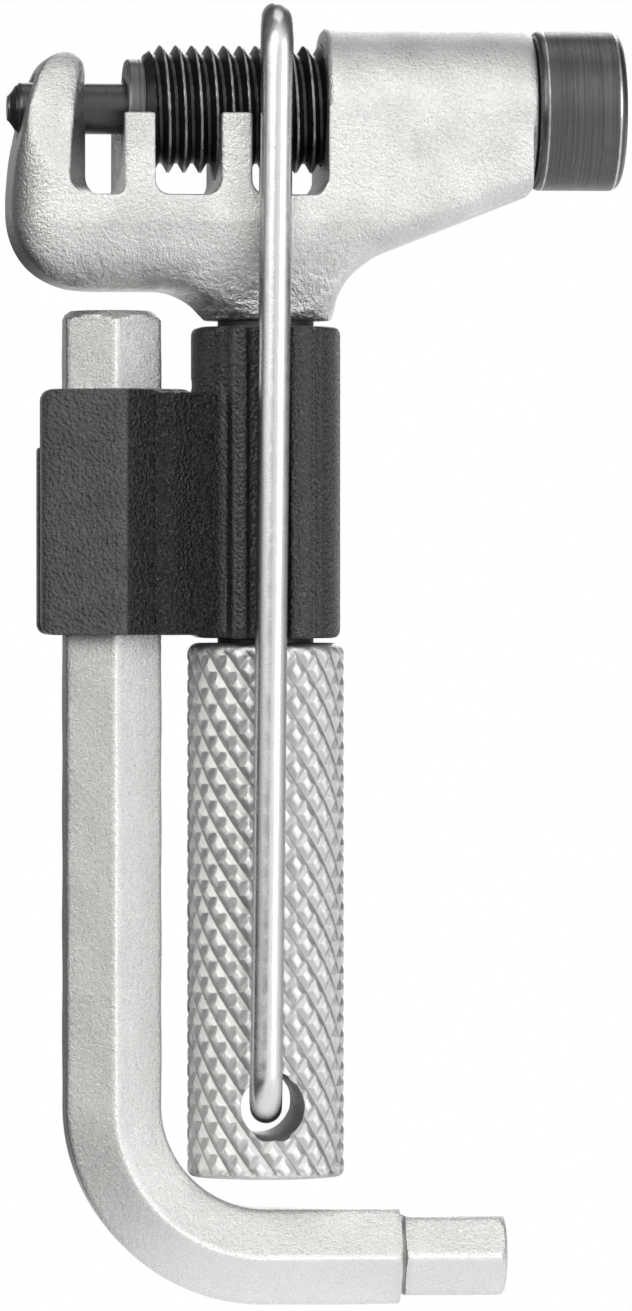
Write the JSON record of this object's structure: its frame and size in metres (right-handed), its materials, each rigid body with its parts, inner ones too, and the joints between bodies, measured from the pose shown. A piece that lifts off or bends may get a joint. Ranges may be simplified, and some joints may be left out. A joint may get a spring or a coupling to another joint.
{
  "type": "bicycle chain tool",
  "caption": "Hand chain tool: cast head with chain seats, threaded pin press and knob, knurled handle, swinging wire hook, and an L-shaped hex key in a moulded clip.",
  "frame": {"origin": "centre of the outer chain seat (the middle of the outer pair of teeth) on the axis of the drive screw", "axes": "+X along the drive screw towards its knob, +Z from the handle up to the head, -Y towards the front (the side the pictured view shows)"},
  "size_m": [0.0384, 0.0146, 0.0811],
  "materials": {
    "cast_nickel": "satin nickel on cast steel, fine grain",
    "black_oxide": "black oxide on turned steel",
    "pin_steel": "hardened steel, dark",
    "retainer_steel": "dark, turned",
    "stud_steel": "turned",
    "knurled_steel": "diamond knurled, satin",
    "black_nylon": "fine spark-eroded grain",
    "key_plate": "satin plated",
    "wire": "bright drawn wire"
  },
  "bodies": {
    "frame": {"tool_body": "cast_nickel", "handle_stud": "stud_steel", "grip_handle": "knurled_steel", "key_bracket": "black_nylon"},
    "pin": {"drive_pin": "pin_steel"},
    "screw": {"drive_screw": "black_oxide", "pin_retainer": "retainer_steel"},
    "key": {"hex_key": "key_plate"},
    "hook": {"chain_hook": "wire"}
  },
  "joints": [
    {"name": "pin_feed", "type": "slide", "parent": "frame", "child": "pin", "axis": [1, 0, 0], "range_m": [0, 0.0201]},
    {"name": "screw_spin", "type": "hinge", "parent": "pin", "child": "screw", "pos_m": [0, 0, 0], "axis": [1, 0, 0], "range_deg": [0, 7200]},
    {"name": "key_slide", "type": "slide", "parent": "frame", "child": "key", "axis": [0, 0, -1], "range_m": [0, 0.024]},
    {"name": "hook_swing", "type": "hinge", "parent": "frame", "child": "hook", "pos_m": [0.0083, 0, -0.0621], "axis": [0, -1, 0], "range_deg": [0, 180]}
  ],
  "couplings": [
    {"joint": "pin_feed", "follows": "screw_spin", "m_per_rad": 0.00015915}
  ]
}
